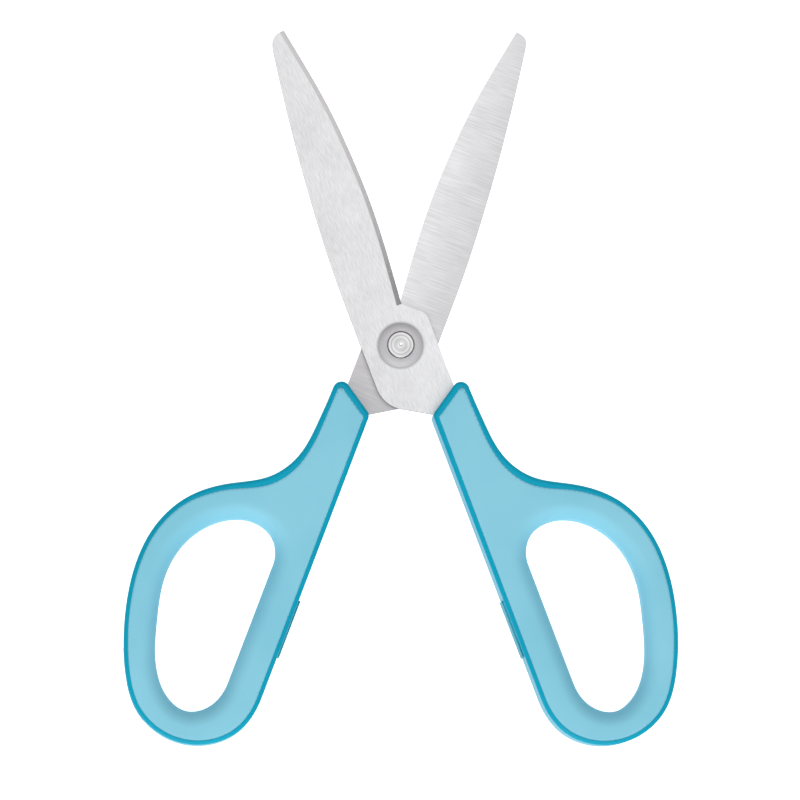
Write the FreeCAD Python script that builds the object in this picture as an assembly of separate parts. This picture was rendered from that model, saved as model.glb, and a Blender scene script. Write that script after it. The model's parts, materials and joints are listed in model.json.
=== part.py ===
"""Office scissors: two stainless blades on one rivet, each in a two-material moulded handle.

Both halves are one design. It is drawn closed, with the rivet on the origin, the blade
pointing along +Y and the finger loop on the +X side. The back half is the front half turned
over about Y, and both are then swung open about the rivet.
"""
import FreeCAD, Part
import math
import os

V = FreeCAD.Vector
os.makedirs("parts", exist_ok=True)

# ---- driving dimensions, millimetres and degrees -------------------------------------
HALF_OPENING = 20.8          # each half's swing from closed, as the scissors lie at rest
HANDLE_T = 12.8              # handle thickness, the height of the whole object
BLADE_T = 1.5                # blade stock
BLADE_GAP = 0.16             # between the two inner blade faces at the rivet
TIP = (0.75, 74.6)           # blade point
SPINE_X = -8.3               # straight back of the blade beside the rivet
NECK_X = 7.85                # other side of the blade below its heel
REAR_NARROWER = 0.6          # the rear blade's back is ground this much slimmer
BEVEL_W = 1.1                # ground cutting bevel, seen square on
BEVEL_LAND = 0.25            # steel left under the bevel at the cutting edge
TANG_X = (3.0, NECK_X)       # tang inside the handle
TANG_END = -43.0
LOCK_HOLES = (-24.0, -35.0)  # the moulded core fills these holes in the tang
LOCK_R = 1.3
PARTING_X = 0.9              # straight inner side of the handle
RIM_ROUND = 0.85             # rounding of the handle's outer edges
LOOP_ROUND = 3.6             # rounding of the finger loop's edges
CORE_T = 6.6                 # hard web in the middle of the handle
LINER_T = 2.0                # soft lining of the finger loop
PAD_H = 8.4                  # height of both pads in the handle's side
PAD_DEPTH = 0.6              # how deep the pads sit in the rim
PAD_ROUND = 0.5
STOP_PAD_Y = (-74.0, -60.8)
STOP_CLEARANCE = 0.02        # from each stop pad to the closing plane
OUTER_PAD_RISE = 0.3
OUTER_PAD_SPAN = ((32.85, -84.0), (23.3, -97.4))
RIVET_HEAD_R = 2.85
RIVET_SHAFT_R = 2.2
RIVET_SPIGOT_R = 1.3
RIVET_TOP = 3.05             # height of the rivet's face above the plane between the blades
RUNNING_CLEARANCE = 0.04     # the rivet, washer and back collar against the blade that turns
COLLAR_R = 4.9
COLLAR_BORE_R = 3.05
COLLAR_TOP = 2.95
WASHER_R = 4.2
WASHER_T = 0.08


# ---- outlines -----------------------------------------------------------------------------
def point(x, y, z=0.0):
    return V(x, y, z)


def line(a, b):
    return Part.LineSegment(a, b).toShape()


def spline(points, start, end):
    """Smooth curve through the points that leaves along start and arrives along end."""
    places = [point(*p) for p in points]
    lengths = [0.0]
    for before, after in zip(places, places[1:]):
        lengths.append(lengths[-1] + (after - before).Length)
    free = [V(1, 0, 0)] * (len(places) - 2)
    tangents = [point(*start).normalize()] + free + [point(*end).normalize()]
    fixed = [True] + [False] * len(free) + [True]
    curve = Part.BSplineCurve()
    curve.interpolate(Points=places, Parameters=lengths, Tangents=tangents,
                      TangentFlags=fixed, Scale=False)
    return curve.toShape()


def rounded(corners):
    """Straight runs between the corners (x, y, radius), with an arc at each inner corner."""
    edges = []
    at = point(*corners[0][:2])
    for index in range(1, len(corners) - 1):
        corner = point(*corners[index][:2])
        radius = corners[index][2]
        back = (point(*corners[index - 1][:2]) - corner).normalize()
        ahead = (point(*corners[index + 1][:2]) - corner).normalize()
        half = back.getAngle(ahead) / 2
        reach = radius / math.tan(half)
        first = corner + back * reach
        last = corner + ahead * reach
        bisector = (back + ahead).normalize()
        middle = corner + bisector * (radius / math.sin(half) - radius)
        edges.append(line(at, first))
        if radius > 0:
            edges.append(Part.Arc(first, middle, last).toShape())
        at = last
    edges.append(line(at, point(*corners[-1][:2])))
    return edges


def slab(wire, low, high):
    """Solid between two heights whose outline is the wire."""
    face = Part.Face(wire)
    face.translate(V(0, 0, low))
    return face.extrude(V(0, 0, high - low))


def beside(edge, at, distance):
    """Point at a distance to the right of the edge, at one of its parameters."""
    run = edge.Curve.tangent(at)[0]
    return edge.Curve.value(at) + V(run[1], -run[0], 0) * distance


def eased(values, part):
    """Value at a fraction of the way along a list, level at each of its entries."""
    place = part * (len(values) - 1)
    index = min(int(place), max(len(values) - 2, 0))
    ahead = min(index + 1, len(values) - 1)
    rest = place - index
    return values[index] + (values[ahead] - values[index]) * rest * rest * (3 - 2 * rest)


def parallel(edge, distances):
    """Edge beside the given one, to its right, at distances listed evenly along it."""
    first = edge.FirstParameter
    last = edge.LastParameter
    steps = 2 if edge.Curve.TypeId != "Part::GeomBSplineCurve" else 48
    places = [beside(edge, first + (last - first) * i / steps, eased(distances, i / steps))
              for i in range(steps + 1)]
    if edge.Curve.TypeId == "Part::GeomLine":
        return line(places[0], places[-1])
    if edge.Curve.TypeId == "Part::GeomCircle":
        return Part.Arc(*places).toShape()
    start = edge.Curve.tangent(first)[0]
    end = edge.Curve.tangent(last)[0]
    return spline([tuple(place) for place in places], tuple(start), tuple(end))


def ring(edges, insets):
    """Closed outline inside a clockwise one, or outside it where the distances are negative."""
    return Part.Wire([parallel(edge, inset) for edge, inset in zip(edges, insets)])


def tube(outer, inner, low, high):
    """Round ring about the rivet's axis; an inner radius of 0 gives a disc."""
    body = Part.makeCylinder(outer, high - low, V(0, 0, low))
    if inner > 0:
        body = body.cut(Part.makeCylinder(inner, high - low, V(0, 0, low)))
    return body


# ---- blade --------------------------------------------------------------------------------
# The cutting edge bows outward from the point to the heel.
CUTTING_EDGE = [TIP, (2.15, 66.8), (3.75, 56.7), (4.8, 44.5), (5.1, 32.5), (4.55, 20.6),
                (3.6, 9.6)]
SPINE = [(SPINE_X, 14.0), (-8.0, 25.4), (-7.25, 37.0), (-6.2, 48.5), (-4.85, 59.8),
         (-3.15, 71.6)]
TIP_ROUND = [SPINE[-1], (-2.15, 73.65), (-0.6, 74.45), TIP]
EDGE_AT_TIP = (0.18, -1.0)
EDGE_AT_HEEL = (-0.09, -1.0)


def blade_outline(narrower):
    """Outline of a blade whose back is ground narrower by the given amount."""
    spine = [(x + narrower, y) for x, y in SPINE]
    tip_round = [spine[-1], *[(x + narrower / 2, y) for x, y in TIP_ROUND[1:-1]], TIP]
    cutting = spline(CUTTING_EDGE, EDGE_AT_TIP, EDGE_AT_HEEL)
    body = rounded([
        CUTTING_EDGE[-1],
        (3.42, 8.5, 1.5),
        (NECK_X, 4.66, 2.6),
        (TANG_X[1], TANG_END, 1.8),
        (TANG_X[0], TANG_END, 1.8),
        (TANG_X[0], -17.85, 0.0),
        (SPINE_X + narrower, -11.2, 7.0),
        spine[0],
    ])
    back = spline(spine, (0.0, 1.0), (0.16, 1.0))
    end = spline(tip_round, (0.16, 1.0), (1.0, 0.05))
    return Part.Wire([cutting] + body + [back, end])


def inward(points, distance):
    """The same points moved to the steel's side of a line that runs from point to heel."""
    moved = []
    for index, (x, y) in enumerate(points):
        before = points[max(index - 1, 0)]
        after = points[min(index + 1, len(points) - 1)]
        run = V(after[0] - before[0], after[1] - before[1], 0).normalize()
        moved.append((x + run.y * distance, y - run.x * distance))
    return moved


def bevel_cutter():
    """Steel ground away above the cutting edge, run out past the point and at the heel."""
    beyond_tip = (TIP[0] - 0.36, TIP[1] + 2.0)
    path = [beyond_tip] + CUTTING_EDGE[:-1] + [(3.42, 8.4)]
    clear = 9.0
    slope = (BLADE_T - BEVEL_LAND) / BEVEL_W
    wires = []
    for shift in (-0.15, BEVEL_W + 0.4):
        height = BEVEL_LAND + shift * slope
        track = inward(path, shift)
        edge = spline(track, EDGE_AT_TIP, EDGE_AT_HEEL)
        start = point(*track[0])
        finish = point(*track[-1])
        far_finish = point(clear, finish.y)
        far_start = point(clear, start.y)
        wire = Part.Wire([edge, line(finish, far_finish), line(far_finish, far_start),
                          line(far_start, start)])
        wire.translate(V(0, 0, height))
        wires.append(wire)
    return Part.makeLoft(wires, True, True)


def blade(bore_r, narrower):
    """Blade with its tang; the inner face is half the gap above the middle plane."""
    body = slab(blade_outline(narrower), 0.0, BLADE_T)
    body = body.cut(bevel_cutter())
    body = body.cut(tube(bore_r, 0, -1.0, BLADE_T + 1.0))
    middle_x = (TANG_X[0] + TANG_X[1]) / 2
    for y in LOCK_HOLES:
        body = body.cut(Part.makeCylinder(LOCK_R, BLADE_T + 2.0, V(middle_x, y, -1.0)))
    body.translate(V(0, 0, BLADE_GAP / 2))
    return body


# ---- handle -------------------------------------------------------------------------------
# Side of the neck, shoulder, round of the loop and its foot, down to the straight inner side.
OUTER_SIDE = [(10.6, -15.5), (10.95, -22.3), (12.35, -31.2), (16.8, -37.75), (24.1, -42.1),
              (32.05, -48.5), (36.4, -57.2), (37.3, -65.6), (35.7, -76.4), (31.1, -88.65),
              (25.75, -95.85), (17.7, -99.25), (9.25, -97.9), (2.95, -92.3),
              (PARTING_X, -83.8)]
NECK_CORNER = (10.5, -10.75, 1.9)
LOOP_SIDE = 9.05
LOOP = [(LOOP_SIDE, -55.25), (11.4, -49.85), (16.9, -48.1), (23.85, -51.0), (28.7, -57.4),
        (30.3, -65.6), (28.5, -75.7), (24.5, -86.3), (20.55, -90.65), (15.35, -92.2),
        (10.85, -89.25), (LOOP_SIDE, -83.2)]


# Width of the hard rim along each edge of the handle in turn: it is broad across the end of
# the neck and in the hollow of the shoulder, and slim elsewhere.
RIM_WIDTHS = [
    [0.95, 1.05, 1.05],
    [1.05, 1.25, 1.45],
    [1.45, 1.45],
    [1.45, 1.25, 1.1],
    [1.1, 1.05],
    [1.05, 1.25, 1.75, 1.3, 1.05, 0.98, 0.95, 0.95, 0.95, 0.95, 0.95, 0.95],
]


def outer_side():
    neck_run = (OUTER_SIDE[0][0] - NECK_CORNER[0], OUTER_SIDE[0][1] - NECK_CORNER[1])
    return spline(OUTER_SIDE, neck_run, (0.0, 1.0))


def handle_edges():
    inner_side = rounded([OUTER_SIDE[-1], (PARTING_X, -17.1, 1.7), NECK_CORNER, OUTER_SIDE[0]])
    return inner_side + [outer_side()]


def loop_edges():
    side = line(point(*LOOP[-1]), point(*LOOP[0]))
    return [side, spline(LOOP, (0.0, 1.0), (0.0, 1.0))]


def horizontal_edges(solid, wire):
    """Edges of the top and bottom faces that follow the wire."""
    return [edge for edge in solid.Edges if edge.BoundBox.ZLength < 1e-6 and follows(edge, wire)]


def follows(edge, wire):
    middle = edge.valueAt((edge.FirstParameter + edge.LastParameter) / 2)
    middle.z = 0.0
    return wire.distToShape(Part.Vertex(middle))[0] < 1e-4


def handle_body():
    """The whole moulded handle as one rounded solid, with its finger loop."""
    half = HANDLE_T / 2
    outline = Part.Wire(handle_edges())
    loop = Part.Wire(loop_edges())
    body = slab(outline, -half, half)
    body = body.makeFillet(RIM_ROUND, horizontal_edges(body, outline))
    body = body.cut(slab(loop, -half - 1, half + 1))
    return body.makeFillet(LOOP_ROUND, horizontal_edges(body, loop))


def soft_zone():
    """Space of the soft moulding: both faces inside the rim, joined by the loop's lining."""
    half = HANDLE_T / 2
    lining_widths = [[-LINER_T], [-LINER_T]]
    face = slab(ring(handle_edges(), RIM_WIDTHS), -half - 1, half + 1)
    lining = slab(ring(loop_edges(), lining_widths), -half - 2, half + 2)
    corner = V(-10, -110, -CORE_T / 2)
    core = Part.makeBox(60, 110, CORE_T, corner).cut(lining)
    return face.cut(core)


def stop_pad():
    """Bumper on the straight inner side, where the two handles meet when closed."""
    pad = Part.makeBox(PARTING_X + PAD_DEPTH - STOP_CLEARANCE, STOP_PAD_Y[1] - STOP_PAD_Y[0],
                       PAD_H, V(STOP_CLEARANCE, STOP_PAD_Y[0], -PAD_H / 2))
    outer = [edge for edge in pad.Edges if edge.BoundBox.XMax < STOP_CLEARANCE + 1e-6]
    return pad.makeFillet(PAD_ROUND, outer)


def outer_pad():
    """Low soft pad let into the outside of the loop's foot, with its outer edges broken."""
    side = outer_side()
    first = side.Curve.parameter(point(*OUTER_PAD_SPAN[0]))
    last = side.Curve.parameter(point(*OUTER_PAD_SPAN[1]))
    steps = 6
    places = [first + (last - first) * step / steps for step in range(steps + 1)]
    starting = tuple(side.Curve.tangent(first)[0])
    ending = tuple(side.Curve.tangent(last)[0])
    proud = [tuple(beside(side, at, -OUTER_PAD_RISE)) for at in places]
    deep = [tuple(beside(side, at, PAD_DEPTH)) for at in places]
    outline = Part.Wire([
        spline(proud, starting, ending),
        line(point(*proud[-1]), point(*deep[-1])),
        spline(deep, starting, ending),
        line(point(*deep[0]), point(*proud[0])),
    ])
    pad = slab(outline, -PAD_H / 2, PAD_H / 2)
    skin = max(pad.Faces, key=lambda face: face.Area)
    return pad.makeFillet(OUTER_PAD_RISE * 0.8, skin.Edges)


def largest(shape):
    return max(shape.Solids, key=lambda solid: solid.Volume)


def half_scissors(bore_r, narrower):
    """Pieces of one half, drawn closed, as name and solid."""
    steel = blade(bore_r, narrower)
    stop = stop_pad()
    outer = outer_pad()
    body = handle_body()
    soft = soft_zone()
    frame = body.cut(soft).cut(steel).cut(stop).cut(outer)
    grip = body.common(soft)
    return {"blade": steel, "handle_frame": largest(frame), "soft_grip": largest(grip),
            "stop_pad": stop, "outer_pad": outer}


# ---- rivet ----------------------------------------------------------------------------------
def turned(profile):
    """Solid of revolution about the rivet's axis from (radius, height) corners."""
    corners = [V(r, 0, z) for r, z in profile]
    corners.append(corners[0])
    face = Part.Face(Part.makePolygon(corners))
    return face.revolve(V(0, 0, 0), V(0, 0, 1), 360)


def collar():
    """Domed ring round the rivet head, from a flat seat to a flat top."""
    seat = BLADE_GAP / 2 + BLADE_T
    rim_top = seat + 0.35
    flat_r = COLLAR_BORE_R + 0.25
    dome_mid = V((COLLAR_R + flat_r) / 2 + 0.22, 0, (rim_top + COLLAR_TOP) / 2 + 0.22)
    corners = [V(flat_r, 0, COLLAR_TOP), V(COLLAR_BORE_R, 0, COLLAR_TOP),
               V(COLLAR_BORE_R, 0, seat), V(COLLAR_R, 0, seat), V(COLLAR_R, 0, rim_top)]
    edges = [line(a, b) for a, b in zip(corners, corners[1:])]
    edges.append(Part.Arc(corners[-1], dome_mid, corners[0]).toShape())
    return Part.Face(Part.Wire(edges)).revolve(V(0, 0, 0), V(0, 0, 1), 360)


def rivet():
    """Turned rivet: head over the front blade, shaft through both, spigot for the back head."""
    seat = BLADE_GAP / 2 + BLADE_T
    back = -seat - RUNNING_CLEARANCE
    chamfer = 0.15
    centre_mark = 0.3
    return turned([
        (0.0, RIVET_TOP - 0.12),
        (centre_mark, RIVET_TOP),
        (RIVET_HEAD_R - chamfer, RIVET_TOP),
        (RIVET_HEAD_R, RIVET_TOP - chamfer),
        (RIVET_HEAD_R, seat),
        (RIVET_SHAFT_R, seat),
        (RIVET_SHAFT_R, back),
        (RIVET_SPIGOT_R, back),
        (RIVET_SPIGOT_R, back - 0.9),
        (0.0, back - 0.9),
    ])


def back_head():
    """Head pressed on the rivet's spigot behind the back blade."""
    top = -BLADE_GAP / 2 - BLADE_T - RUNNING_CLEARANCE
    chamfer = 0.15
    return turned([
        (0.0, top - 0.9),
        (RIVET_SPIGOT_R, top - 0.9),
        (RIVET_SPIGOT_R, top),
        (RIVET_HEAD_R, top),
        (RIVET_HEAD_R, -RIVET_TOP + chamfer),
        (RIVET_HEAD_R - chamfer, -RIVET_TOP),
        (0.3, -RIVET_TOP),
        (0.0, -RIVET_TOP + 0.12),
    ])


def turned_over(shape):
    flipped = shape.copy()
    flipped.rotate(V(0, 0, 0), V(0, 1, 0), 180)
    return flipped


# ---- assembly -------------------------------------------------------------------------------
def assembly():
    pieces = {}
    rear_bore_r = RIVET_SHAFT_R + RUNNING_CLEARANCE
    for name, solid in half_scissors(RIVET_SHAFT_R, 0.0).items():
        solid.rotate(V(0, 0, 0), V(0, 0, 1), HALF_OPENING)
        pieces["front_" + name if name == "blade" else "right_" + name] = solid
    for name, solid in half_scissors(rear_bore_r, REAR_NARROWER).items():
        solid = turned_over(solid)
        solid.rotate(V(0, 0, 0), V(0, 0, 1), -HALF_OPENING)
        pieces["rear_" + name if name == "blade" else "left_" + name] = solid
    pieces["front_collar"] = collar()
    back_collar = turned_over(collar())
    back_collar.translate(V(0, 0, -RUNNING_CLEARANCE))
    pieces["rear_collar"] = back_collar
    pieces["pivot_rivet"] = rivet()
    pieces["rivet_back_head"] = back_head()
    pieces["pivot_washer"] = tube(WASHER_R, RIVET_SHAFT_R, BLADE_GAP / 2 - WASHER_T,
                                  BLADE_GAP / 2)
    return pieces


def main():
    pieces = assembly()
    whole = Part.makeCompound(list(pieces.values())).optimalBoundingBox()
    rivet_place = V(-whole.Center.x, -whole.Center.y, HANDLE_T / 2)
    print("rivet at", rivet_place)
    for name, solid in pieces.items():
        solid.translate(rivet_place)
        solid.exportStep("parts/" + name + ".step")
        print(name, len(solid.Solids), solid.isValid(), round(solid.Volume, 1))


main()
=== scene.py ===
import json
import math

import bmesh
import bpy
from mathutils import Matrix, Vector
from mathutils.geometry import delaunay_2d_cdt


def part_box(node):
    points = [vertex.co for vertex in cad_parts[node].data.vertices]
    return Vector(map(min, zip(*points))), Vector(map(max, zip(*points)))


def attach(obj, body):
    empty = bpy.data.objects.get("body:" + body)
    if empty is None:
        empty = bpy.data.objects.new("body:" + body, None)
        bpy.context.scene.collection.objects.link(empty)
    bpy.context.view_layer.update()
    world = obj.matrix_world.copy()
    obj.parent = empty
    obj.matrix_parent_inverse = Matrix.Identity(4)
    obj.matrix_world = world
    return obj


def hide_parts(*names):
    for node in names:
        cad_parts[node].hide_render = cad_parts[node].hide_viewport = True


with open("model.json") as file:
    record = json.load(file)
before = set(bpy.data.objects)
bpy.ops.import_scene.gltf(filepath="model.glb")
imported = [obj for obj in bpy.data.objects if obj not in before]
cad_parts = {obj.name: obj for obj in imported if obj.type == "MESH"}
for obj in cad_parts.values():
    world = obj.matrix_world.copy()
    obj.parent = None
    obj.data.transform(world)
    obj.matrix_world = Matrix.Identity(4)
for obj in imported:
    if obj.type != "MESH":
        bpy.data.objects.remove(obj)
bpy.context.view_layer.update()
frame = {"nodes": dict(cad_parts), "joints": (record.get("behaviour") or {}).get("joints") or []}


# ---- Both blades ---------------------------------------------------------------------------
# Stamped from 1.5 mm stainless strip. The front blade shows its outer face, linished along
# its length; the rear blade shows its flat inner face, ground straight across.
mm = 0.001
hinge = frame["joints"][0]
pivot = Vector(hinge["pos_m"])
half_opening = math.radians(hinge["range_deg"][1]) / 2


def new_group(name, inputs, outputs):
    """Empty shader group with its named sockets, and its input and output nodes."""
    group = bpy.data.node_groups.new(name, "ShaderNodeTree")
    for socket, kind, default in inputs:
        made = group.interface.new_socket(socket, in_out="INPUT", socket_type=kind)
        if default is not None:
            made.default_value = default
    for socket, kind in outputs:
        group.interface.new_socket(socket, in_out="OUTPUT", socket_type=kind)
    return group, group.nodes.new("NodeGroupInput"), group.nodes.new("NodeGroupOutput")


def math_node(tree, kind, first, second=None):
    """Math node whose operands are numbers or sockets; returns its result."""
    node = tree.nodes.new("ShaderNodeMath")
    node.operation = kind
    for place, value in enumerate((first, second)):
        if value is None:
            continue
        if isinstance(value, (int, float)):
            node.inputs[place].default_value = value
        else:
            tree.links.new(value, node.inputs[place])
    return node.outputs[0]


def streak_group():
    """Brushing: long fine streaks and short dashes, as a value that varies about 0.5."""
    group, given, result = new_group(
        "brushed_streaks",
        [("Vector", "NodeSocketVector", None),
         ("Across", "NodeSocketFloat", 9000.0),
         ("Along", "NodeSocketFloat", 250.0)],
        [("Streaks", "NodeSocketFloat"), ("Clouds", "NodeSocketFloat")])
    through = 40.0
    links = group.links
    stretch = group.nodes.new("ShaderNodeCombineXYZ")
    links.new(given.outputs["Across"], stretch.inputs[0])
    links.new(given.outputs["Along"], stretch.inputs[1])
    stretch.inputs[2].default_value = through
    scaled = group.nodes.new("ShaderNodeVectorMath")
    scaled.operation = "MULTIPLY"
    links.new(given.outputs["Vector"], scaled.inputs[0])
    links.new(stretch.outputs[0], scaled.inputs[1])
    fine = group.nodes.new("ShaderNodeTexNoise")
    fine.inputs["Scale"].default_value = 1.0
    fine.inputs["Detail"].default_value = 4.0
    fine.inputs["Roughness"].default_value = 0.62
    links.new(scaled.outputs[0], fine.inputs["Vector"])
    clouds = group.nodes.new("ShaderNodeTexNoise")
    clouds.inputs["Scale"].default_value = 160.0
    clouds.inputs["Detail"].default_value = 3.0
    links.new(given.outputs["Vector"], clouds.inputs["Vector"])
    links.new(fine.outputs[0], result.inputs["Streaks"])
    links.new(clouds.outputs[0], result.inputs["Clouds"])
    return group


streaks = streak_group()


def new_material(name):
    """Node material with its Principled shader."""
    material = bpy.data.materials.new(name)
    material.use_nodes = True
    return material, material.node_tree, material.node_tree.nodes["Principled BSDF"]


def local_vector(tree, swing):
    """Coordinates of one closed half: origin on the rivet, Y along the blade."""
    place = tree.nodes.new("ShaderNodeTexCoord")
    turn = tree.nodes.new("ShaderNodeMapping")
    turn.vector_type = "TEXTURE"
    turn.inputs["Location"].default_value = pivot
    turn.inputs["Rotation"].default_value = (0.0, 0.0, swing)
    tree.links.new(place.outputs["Object"], turn.inputs["Vector"])
    return turn.outputs[0]


def ramp(tree, value, stops):
    """Colour ramp through the (position, colour) stops."""
    node = tree.nodes.new("ShaderNodeValToRGB")
    elements = node.color_ramp.elements
    while len(elements) < len(stops):
        elements.new(0.5)
    for element, (position, colour) in zip(elements, stops):
        element.position = position
        element.color = (*colour, 1.0)
    tree.links.new(value, node.inputs[0])
    return node.outputs[0]


def graded(tree, value, start=0.0, end=1.0, low=0.0, high=1.0):
    """Value that goes from low to high as the given one goes from start to end."""
    node = tree.nodes.new("ShaderNodeMapRange")
    for socket, number in (("From Min", start), ("From Max", end),
                           ("To Min", low), ("To Max", high)):
        node.inputs[socket].default_value = number
    tree.links.new(value, node.inputs["Value"])
    return node.outputs[0]


def grey(value):
    """Neutral steel tone, a touch cool."""
    return (value, value, value * 1.004)


def blend_colour(tree, kind, amount, first, second):
    """Mix node over two colours; amount is a number or a socket."""
    node = tree.nodes.new("ShaderNodeMix")
    node.data_type = "RGBA"
    node.blend_type = kind
    if isinstance(amount, (int, float)):
        node.inputs["Factor"].default_value = amount
    else:
        tree.links.new(amount, node.inputs["Factor"])
    for socket, value in ((node.inputs[6], first), (node.inputs[7], second)):
        if isinstance(value, tuple):
            socket.default_value = (*value, 1.0)
        else:
            tree.links.new(value, socket)
    return node.outputs[2]


streak_depth = 0.02 * mm


def blade_steel(name, swing, across, along, face_stops, facing, depth, painted_neck_shade):
    """Brushed stainless with a graded face; its ground bevel and sheared side are darker, partly
    their duller finish and partly painted shade.

    face_stops grade the face from the back of the blade to its cutting edge; painted_neck_shade
    is the painted shade the steel falls to below the rivet, where the neck lies in shadow.
    """
    material, tree, shader = new_material(name)
    links = tree.links
    vector = local_vector(tree, swing)
    grain = tree.nodes.new("ShaderNodeGroup")
    grain.node_tree = streaks
    grain.inputs["Across"].default_value = across
    grain.inputs["Along"].default_value = along
    links.new(vector, grain.inputs["Vector"])
    split = tree.nodes.new("ShaderNodeSeparateXYZ")
    links.new(vector, split.inputs[0])
    # Across the blade, from its back to its cutting edge.
    back, edge = -8.3 * mm, 5.2 * mm
    sideways = math_node(tree, "MULTIPLY", split.outputs[0], facing)
    face = ramp(tree, graded(tree, sideways, back, edge), face_stops)
    # A narrow shadow at the foot of the collar.
    collar_edge, shadow_end, shadow = 4.8 * mm, 5.5 * mm, 0.5
    flat = tree.nodes.new("ShaderNodeCombineXYZ")
    links.new(split.outputs[0], flat.inputs[0])
    links.new(split.outputs[1], flat.inputs[1])
    reach = tree.nodes.new("ShaderNodeVectorMath")
    reach.operation = "LENGTH"
    links.new(flat.outputs[0], reach.inputs[0])
    foot = graded(tree, reach.outputs["Value"], collar_edge, shadow_end, low=shadow)
    face = blend_colour(tree, "MULTIPLY", 1.0, face, foot)
    # Painted shade along the blade: darker past the rivet down the neck, where it lies in shadow.
    neck_start, neck_end = 4.0 * mm, -6.0 * mm
    neck = graded(tree, split.outputs[1], neck_end, neck_start)
    shade = ramp(tree, neck, [(0.0, painted_neck_shade), (1.0, grey(1.0))])
    face = blend_colour(tree, "MULTIPLY", 1.0, face, shade)
    # The brushing and its slow changes.
    cloudy = ramp(tree, grain.outputs["Clouds"], [(0.3, grey(0.93)), (0.7, grey(1.0))])
    face = blend_colour(tree, "MULTIPLY", 1.0, face, cloudy)
    brushed = ramp(tree, grain.outputs["Streaks"], [(0.40, grey(0.82)), (0.60, grey(1.0))])
    face = blend_colour(tree, "MULTIPLY", depth, face, brushed)
    # What doesn't lie level is the ground bevel or the sheared side; it is painted dark, partly its
    # duller finish and partly painted shade for the shadow along the blade's edges.
    geometry = tree.nodes.new("ShaderNodeNewGeometry")
    normal = tree.nodes.new("ShaderNodeSeparateXYZ")
    links.new(geometry.outputs["Normal"], normal.inputs[0])
    upright = math_node(tree, "ABSOLUTE", normal.outputs[2])
    ground = ramp(tree, upright, [(0.3, grey(0.16)), (0.5, (0.62, 0.60, 0.605))])
    level = ramp(tree, upright, [(0.86, (0.0, 0.0, 0.0)), (0.97, (1.0, 1.0, 1.0))])
    colour = blend_colour(tree, "MIX", level, ground, face)
    links.new(colour, shader.inputs["Base Color"])
    shader.inputs["Metallic"].default_value = 1.0
    rough = graded(tree, grain.outputs["Streaks"], low=0.30, high=0.46)
    links.new(rough, shader.inputs["Roughness"])
    bump = tree.nodes.new("ShaderNodeBump")
    bump.inputs["Strength"].default_value = 0.12
    bump.inputs["Distance"].default_value = streak_depth
    links.new(grain.outputs["Streaks"], bump.inputs["Height"])
    links.new(bump.outputs[0], shader.inputs["Normal"])
    return material


def finish_node(name, material):
    """Give a carried-over CAD part its material."""
    mesh = frame["nodes"][name].data
    mesh.materials.clear()
    mesh.materials.append(material)


linished = blade_steel("linished_stainless", half_opening, 5200.0, 420.0,
                       [(0.0, grey(0.93)), (1.0, grey(0.97))], 1.0, 0.8, grey(1.0))
cross_ground = blade_steel("cross_ground_stainless", -half_opening, 130.0, 6500.0,
                           [(0.0, grey(0.82)), (0.45, grey(0.90)), (0.85, grey(1.0)),
                            (1.0, grey(1.0))], -1.0, 1.0, (0.74, 0.725, 0.735))
finish_node("front_blade", linished)
finish_node("rear_blade", cross_ground)


# ---- Handle frames ---------------------------------------------------------------------------
# Each is one hard ABS moulding shot round the tang: a glossy full-height rim, which is what
# shows, and a web inside. The colour is in the plastic.
def skin_group():
    """Moulded plastic: faint uneven colour and the fine surface of the mould."""
    group, given, result = new_group(
        "moulded_skin",
        [("Vector", "NodeSocketVector", None),
         ("Texture Size", "NodeSocketFloat", 2500.0)],
        [("Unevenness", "NodeSocketFloat"), ("Surface", "NodeSocketFloat")])
    links = group.links
    broad = group.nodes.new("ShaderNodeTexNoise")
    broad.inputs["Scale"].default_value = 55.0
    broad.inputs["Detail"].default_value = 2.0
    links.new(given.outputs["Vector"], broad.inputs["Vector"])
    close = group.nodes.new("ShaderNodeTexNoise")
    close.inputs["Detail"].default_value = 3.0
    links.new(given.outputs["Vector"], close.inputs["Vector"])
    links.new(given.outputs["Texture Size"], close.inputs["Scale"])
    links.new(broad.outputs[0], result.inputs["Unevenness"])
    links.new(close.outputs[0], result.inputs["Surface"])
    return group


moulded = skin_group()


def plastic(name, dark, light, roughness, size, depth, specular=0.5):
    """Moulded plastic whose colour wanders between two near shades.

    size is the scale of its surface texture and depth the strength of that texture.
    """
    wander = 0.04
    mould_depth = 0.02 * mm
    material, tree, shader = new_material(name)
    place = tree.nodes.new("ShaderNodeTexCoord")
    skin = tree.nodes.new("ShaderNodeGroup")
    skin.node_tree = moulded
    skin.inputs["Texture Size"].default_value = size
    tree.links.new(place.outputs["Object"], skin.inputs["Vector"])
    colour = ramp(tree, skin.outputs["Unevenness"], [(0.35, dark), (0.65, light)])
    tree.links.new(colour, shader.inputs["Base Color"])
    rough = graded(tree, skin.outputs["Surface"], low=roughness - wander, high=roughness + wander)
    tree.links.new(rough, shader.inputs["Roughness"])
    shader.inputs["Specular IOR Level"].default_value = specular
    bump = tree.nodes.new("ShaderNodeBump")
    bump.inputs["Strength"].default_value = depth
    bump.inputs["Distance"].default_value = mould_depth
    tree.links.new(skin.outputs["Surface"], bump.inputs["Height"])
    tree.links.new(bump.outputs[0], shader.inputs["Normal"])
    return material


rim_plastic = plastic("glossy_cyan_abs", (0.0, 0.36, 0.53), (0.0, 0.39, 0.57), 0.30, 900.0,
                      0.02, specular=0.14)
for side in ("left", "right"):
    finish_node(side + "_handle_frame", rim_plastic)


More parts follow.
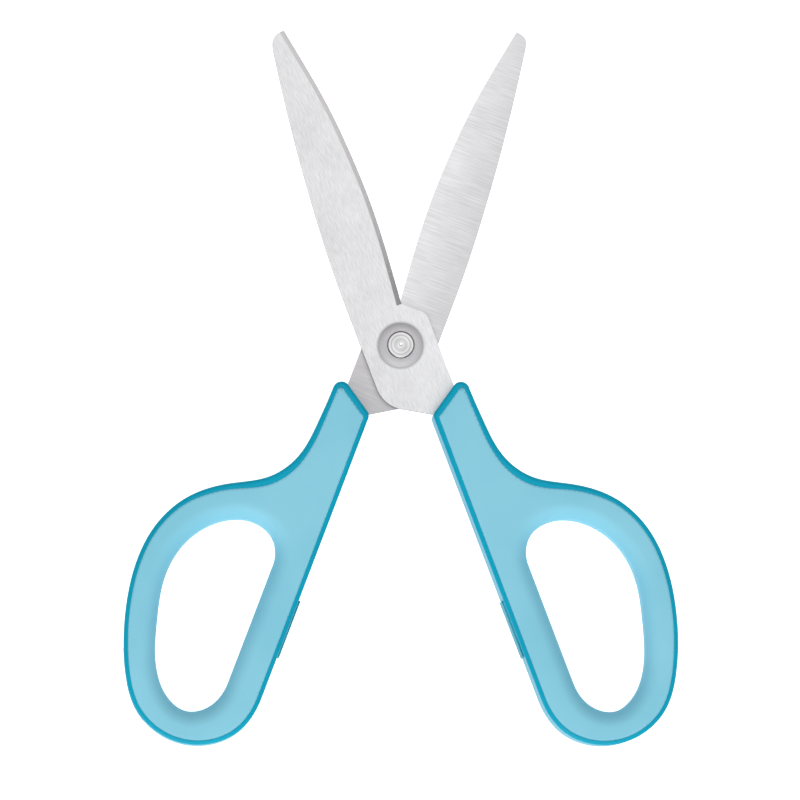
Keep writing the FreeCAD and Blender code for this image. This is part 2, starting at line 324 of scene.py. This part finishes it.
# ---- Soft grips ------------------------------------------------------------------------------
# A pale elastomer is moulded over the frame: a skin on both faces, gently crowned inside the
# rim, and a thick round lining through the finger loop.
def face_rings(name):
    """Outlines of a CAD part's flat upper face as lists of points, the longest first."""
    flatness = 0.001 * mm
    digits = 7
    mesh = frame["nodes"][name].data
    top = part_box(name)[1].z
    uses = {}
    for face in mesh.polygons:
        corners = [mesh.vertices[index].co for index in face.vertices]
        if min(corner.z for corner in corners) < top - flatness:
            continue
        keys = [(round(corner.x, digits), round(corner.y, digits)) for corner in corners]
        for start, end in zip(keys, keys[1:] + keys[:1]):
            uses.setdefault(frozenset((start, end)), []).append((start, end))
    follow = {}
    for runs in uses.values():
        if len(runs) == 1:
            follow[runs[0][0]] = runs[0][1]
    rings = []
    while follow:
        start = next(iter(follow))
        ring = [start]
        at = follow.pop(start)
        while at != start:
            ring.append(at)
            at = follow.pop(at)
        rings.append([Vector(point) for point in ring])
    rings.sort(key=ring_length, reverse=True)
    return rings


def ring_length(ring):
    """Length of a closed outline."""
    return sum((b - a).length for a, b in zip(ring, ring[1:] + ring[:1]))


def even_ring(ring, spacing):
    """The same closed outline with evenly spaced points."""
    count = max(8, round(ring_length(ring) / spacing))
    step = ring_length(ring) / count
    points = []
    walked = 0.0
    target = 0.0
    for start, end in zip(ring, ring[1:] + ring[:1]):
        span = (end - start).length
        while target < walked + span - 1e-9 and len(points) < count:
            points.append(start.lerp(end, (target - walked) / span))
            target += step
        walked += span
    return points


def ring_normals(ring):
    """Unit normals to the left of the outline's run."""
    normals = []
    for index in range(len(ring)):
        run = ring[(index + 2) % len(ring)] - ring[index - 2]
        normals.append(Vector((-run.y, run.x)).normalized())
    return normals


def ring_distance(point, ring):
    """Distance from a point to a closed outline."""
    nearest = math.inf
    for start, end in zip(ring, ring[1:] + ring[:1]):
        along = end - start
        part = max(0.0, min(1.0, (point - start).dot(along) / along.length_squared))
        nearest = min(nearest, (point - start - along * part).length)
    return nearest


def ring_holds(point, ring):
    """Whether a point lies inside a closed outline."""
    held = False
    for start, end in zip(ring, ring[1:] + ring[:1]):
        if (start.y > point.y) != (end.y > point.y):
            crossing = start.x + (end.x - start.x) * (point.y - start.y) / (end.y - start.y)
            if point.x < crossing:
                held = not held
    return held


def add_lining(mesh, loop, edges):
    """Round wall of the finger loop between its edges on the two faces."""
    reach = 3.6 * mm
    steps = 11
    into_loop = ring_normals(loop)
    centre = sum(loop, Vector((0.0, 0.0))) / len(loop)
    if into_loop[0].dot(centre - loop[0]) < 0:
        into_loop = [-normal for normal in into_loop]
    rows = [edges[0]]
    for sign in (1, -1):
        order = range(1, steps + 1) if sign == 1 else range(steps, 0, -1)
        for step in order:
            angle = math.pi / 2 * step / steps
            fall = sign * reach * (1 - math.cos(angle))
            row = []
            for point, normal, corner in zip(loop, into_loop, edges[0 if sign == 1 else 1]):
                place = point + normal * reach * math.sin(angle)
                row.append(mesh.verts.new((place.x, place.y, corner.co.z - fall)))
            rows.append(row)
    rows.append(edges[1])
    for upper, lower in zip(rows, rows[1:]):
        for index in range(len(loop)):
            following = (index + 1) % len(loop)
            mesh.faces.new([upper[index], lower[index], lower[following], upper[following]])


def face_drop(distance):
    """How far the face lies under its flat height at a distance from the rim."""
    lip_drop = 0.02 * mm
    lip_width = 0.4 * mm
    crown_drop = 0.05 * mm
    crown_width = 2.4 * mm
    lip = max(0.0, 1.0 - distance / lip_width)
    crown = max(0.0, 1.0 - distance / crown_width)
    return lip_drop * lip ** 2 + crown_drop * crown ** 2


def rim_rows(outer, loop):
    """Rows of points just inside the rim, closest where the face curves most."""
    row_distances = [0.12, 0.26, 0.45, 0.75, 1.15, 1.6]
    shortest = 0.9
    loop_gap = 0.3 * mm
    points = []
    for row in row_distances:
        for point, normal in zip(outer[::2], ring_normals(outer)[::2]):
            place = point + normal * row * mm
            if (ring_distance(place, outer) > shortest * row * mm
                    and not ring_holds(place, loop)
                    and ring_distance(place, loop) > loop_gap):
                points.append(place)
    return points


def grid_points(outer, loop, low, high):
    """Staggered points over the middle of the face."""
    grid = 1.1 * mm
    rim_gap = 2.0 * mm
    loop_gap = 0.6 * mm
    points = []
    for column in range(int((high.x - low.x) / grid) + 1):
        for level in range(int((high.y - low.y) / grid) + 1):
            place = Vector((low.x + (column + 0.5 * (level % 2)) * grid, low.y + level * grid))
            if (ring_holds(place, outer) and not ring_holds(place, loop)
                    and ring_distance(place, outer) > rim_gap
                    and ring_distance(place, loop) > loop_gap):
                points.append(place)
    return points


def grip_mesh(name):
    """Soft grip built on the CAD grip's outlines, in metres, as a closed mesh."""
    low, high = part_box(name)
    outer_cad, loop_cad = face_rings(name)[:2]
    outer = even_ring(outer_cad, 0.55 * mm)
    loop = even_ring(loop_cad, 0.6 * mm)
    inner = list(loop) + rim_rows(outer, loop) + grid_points(outer, loop, low, high)
    points = list(outer) + inner
    drops = [face_drop(0.0)] * len(outer)
    drops += [face_drop(ring_distance(point, outer)) for point in inner]
    limits = [(index, (index + 1) % len(outer)) for index in range(len(outer))]
    offset = len(outer)
    limits += [(offset + index, offset + (index + 1) % len(loop)) for index in range(len(loop))]
    inside_limits = 1
    tolerance = 1e-9
    faces = delaunay_2d_cdt(points, limits, [], inside_limits, tolerance)[2]
    on_loop = range(offset, offset + len(loop))
    mesh = bmesh.new()
    middle_z = (low.z + high.z) / 2
    half = (high.z - low.z) / 2
    sides = {}
    for sign in (1, -1):
        sides[sign] = [mesh.verts.new((point.x, point.y, middle_z + sign * (half - fall)))
                       for point, fall in zip(points, drops)]
    for face in faces:
        if all(index in on_loop for index in face):
            continue
        mesh.faces.new([sides[1][index] for index in face])
        mesh.faces.new([sides[-1][index] for index in reversed(face)])
    for index in range(len(outer)):
        following = (index + 1) % len(outer)
        mesh.faces.new([sides[1][index], sides[-1][index], sides[-1][following],
                        sides[1][following]])
    add_lining(mesh, loop, [sides[1][offset:offset + len(loop)],
                            sides[-1][offset:offset + len(loop)]])
    bmesh.ops.recalc_face_normals(mesh, faces=mesh.faces)
    return mesh


def new_piece(name, mesh, material):
    """Blender object from a bmesh, smooth shaded, with its material."""
    data = bpy.data.meshes.new(name)
    mesh.to_mesh(data)
    mesh.free()
    data.materials.append(material)
    for polygon in data.polygons:
        polygon.use_smooth = True
    piece = bpy.data.objects.new(name, data)
    bpy.context.scene.collection.objects.link(piece)
    return piece


grip_rubber = plastic("pale_blue_elastomer", (0.25, 0.64, 0.80), (0.285, 0.675, 0.83), 0.55,
                      3200.0, 0.25, specular=0.2)
bodies = {"right": "front_half", "left": "rear_half"}
for side, body in bodies.items():
    node = side + "_soft_grip"
    grip = new_piece(side + "_grip", grip_mesh(node), grip_rubber)
    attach(grip, body)
    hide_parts(node)


# ---- Pads in the handles' sides --------------------------------------------------------------
# Softer plastic inserts snapped into the rim: the stop pads meet when the scissors close, and
# the outer pads sit at the foot of each loop.
def pad_mesh(name):
    """Pad on the outline of the CAD pad's flat top, its upper and lower edges rounded."""
    spacing = 0.12 * mm
    probe = 0.05
    radius = 0.3 * mm
    steps = 5
    low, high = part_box(name)
    ring = even_ring(face_rings(name)[0], spacing)
    inward = ring_normals(ring)
    if not ring_holds(ring[0] + inward[0] * probe * mm, ring):
        inward = [-normal for normal in inward]
    rows = []
    for step in range(steps + 1):
        angle = math.pi / 2 * step / steps
        rows.append((radius * (1 - math.sin(angle)), radius * (1 - math.cos(angle))))
    levels = [(inset, low.z + rise) for inset, rise in rows]
    levels += [(inset, high.z - rise) for inset, rise in reversed(rows)]
    mesh = bmesh.new()
    loops = [[mesh.verts.new((*(point + normal * inset), height))
              for point, normal in zip(ring, inward)] for inset, height in levels]
    for lower, upper in zip(loops, loops[1:]):
        for index in range(len(ring)):
            following = (index + 1) % len(ring)
            mesh.faces.new([lower[index], lower[following], upper[following], upper[index]])
    mesh.faces.new(loops[0])
    mesh.faces.new(loops[-1])
    bmesh.ops.recalc_face_normals(mesh, faces=mesh.faces)
    return mesh


pad_plastic = plastic("teal_pad", (0.02, 0.34, 0.47), (0.03, 0.37, 0.50), 0.45, 2600.0, 0.2,
                      specular=0.3)
for side, body in bodies.items():
    for kind in ("_stop_pad", "_outer_pad"):
        pad = new_piece(side + kind.replace("_pad", "_bumper"), pad_mesh(side + kind), pad_plastic)
        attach(pad, body)
        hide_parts(side + kind)


# ---- Rivet and its back head -------------------------------------------------------------------
# Turned from bright bar: fine rings from the tool run round the face to a small centre mark.
def turned_steel(name):
    """Bright turned steel: fine rings about the rivet and two soft reflections across it."""
    ring_depth = 0.02 * mm
    reflections = 2
    material, tree, shader = new_material(name)
    links = tree.links
    vector = local_vector(tree, 0.0)
    split = tree.nodes.new("ShaderNodeSeparateXYZ")
    links.new(vector, split.inputs[0])
    squares = math_node(tree, "ADD", math_node(tree, "POWER", split.outputs[0], 2.0),
                        math_node(tree, "POWER", split.outputs[1], 2.0))
    radius = math_node(tree, "SQRT", squares)
    rings = tree.nodes.new("ShaderNodeTexNoise")
    rings.noise_dimensions = "1D"
    rings.inputs["Scale"].default_value = 2600.0
    rings.inputs["Detail"].default_value = 3.0
    links.new(radius, rings.inputs["W"])
    ringed = ramp(tree, rings.outputs[0], [(0.38, grey(0.62)), (0.62, grey(1.0))])
    sweep = tree.nodes.new("ShaderNodeTexGradient")
    sweep.gradient_type = "RADIAL"
    links.new(vector, sweep.inputs[0])
    wedge = math_node(tree, "SINE", math_node(tree, "MULTIPLY", sweep.outputs[1],
                                              math.tau * reflections))
    wedges = ramp(tree, math_node(tree, "ADD", math_node(tree, "MULTIPLY", wedge, 0.5), 0.5),
                  [(0.0, grey(0.90)), (1.0, grey(1.0))])
    colour = blend_colour(tree, "MULTIPLY", 1.0, ringed, wedges)
    links.new(colour, shader.inputs["Base Color"])
    shader.inputs["Metallic"].default_value = 1.0
    shader.inputs["Roughness"].default_value = 0.28
    bump = tree.nodes.new("ShaderNodeBump")
    bump.inputs["Strength"].default_value = 0.3
    bump.inputs["Distance"].default_value = ring_depth
    links.new(rings.outputs[0], bump.inputs["Height"])
    links.new(bump.outputs[0], shader.inputs["Normal"])
    return material


rivet_steel = turned_steel("turned_bright_steel")
finish_node("pivot_rivet", rivet_steel)
finish_node("rivet_back_head", rivet_steel)


# ---- Collars and washer ------------------------------------------------------------------------
# Grey acetal: a domed ring round each head takes the side load, and a thin washer keeps the
# blades apart.
acetal = plastic("grey_acetal", (0.56, 0.545, 0.565), (0.60, 0.585, 0.605), 0.38, 1800.0, 0.08,
                 specular=0.4)
for name in ("front_collar", "rear_collar", "pivot_washer"):
    finish_node(name, acetal)


# ---- Floor, light and camera ---------------------------------------------------------------------
# A pale sheet under the scissors, an even white room with two large soft lights in it, one
# above and one from the handles' end, and a long lens a little off straight above.
def make_floor():
    """Large sheet that looks white to the camera and lights the scissors less than that."""
    reach = 3.0
    glow_on_scissors = 0.4
    glow_seen = 1.0
    mesh = bmesh.new()
    corners = [mesh.verts.new((x * reach, y * reach, 0.0))
               for x, y in ((-1, -1), (1, -1), (1, 1), (-1, 1))]
    mesh.faces.new(corners)
    material, tree, shader = new_material("pale_sheet")
    shader.inputs["Base Color"].default_value = (0.9, 0.9, 0.9, 1.0)
    shader.inputs["Roughness"].default_value = 0.9
    shader.inputs["Emission Color"].default_value = (1.0, 1.0, 1.0, 1.0)
    seen = tree.nodes.new("ShaderNodeLightPath")
    glow = graded(tree, seen.outputs["Is Camera Ray"], low=glow_on_scissors, high=glow_seen)
    tree.links.new(glow, shader.inputs["Emission Strength"])
    return new_piece("floor", mesh, material)


floor = make_floor()

room_light = 0.40
world = bpy.data.worlds.new("studio")
world.use_nodes = True
room = world.node_tree.nodes["Background"]
room.inputs["Color"].default_value = (1.0, 1.0, 1.0, 1.0)
room.inputs["Strength"].default_value = room_light
bpy.context.scene.world = world
bpy.context.scene.view_settings.view_transform = "Standard"


def soft_light(name, place, watts):
    """Square softbox that faces the middle of the scissors."""
    size = 1.3
    target = Vector((0.0, 0.0, 0.0))
    light = bpy.data.lights.new(name, "AREA")
    light.shape = "SQUARE"
    light.size = size
    light.energy = watts
    lamp = bpy.data.objects.new(name, light)
    lamp.location = place
    lamp.rotation_euler = (target - Vector(place)).to_track_quat("-Z", "Y").to_euler()
    bpy.context.scene.collection.objects.link(lamp)


soft_light("softbox_above", (0.06, 0.08, 1.0), watts=2.7)
soft_light("softbox_front", (-0.15, -0.95, 0.75), watts=10.0)


def place_camera():
    """Long lens whose picture is frame_width wide where the scissors lie."""
    sensor = 36.0
    distance = 1.5
    frame_width = 0.17664
    tilt_left = math.radians(2.0)
    tilt_down = math.radians(4.3)
    target = pivot + Vector((-0.08 * mm, -11.99 * mm, 0.0))
    back = Vector((-math.sin(tilt_left), -math.sin(tilt_down), 1.0)).normalized()
    right = Vector((0.0, 1.0, 0.0)).cross(back).normalized()
    up = back.cross(right)
    data = bpy.data.cameras.new("camera")
    data.sensor_width = sensor
    data.lens = sensor * distance / frame_width
    camera = bpy.data.objects.new("camera", data)
    turn = Matrix((right, up, back)).transposed().to_4x4()
    camera.matrix_world = Matrix.Translation(target + back * distance) @ turn
    bpy.context.scene.collection.objects.link(camera)
    bpy.context.scene.camera = camera


place_camera()
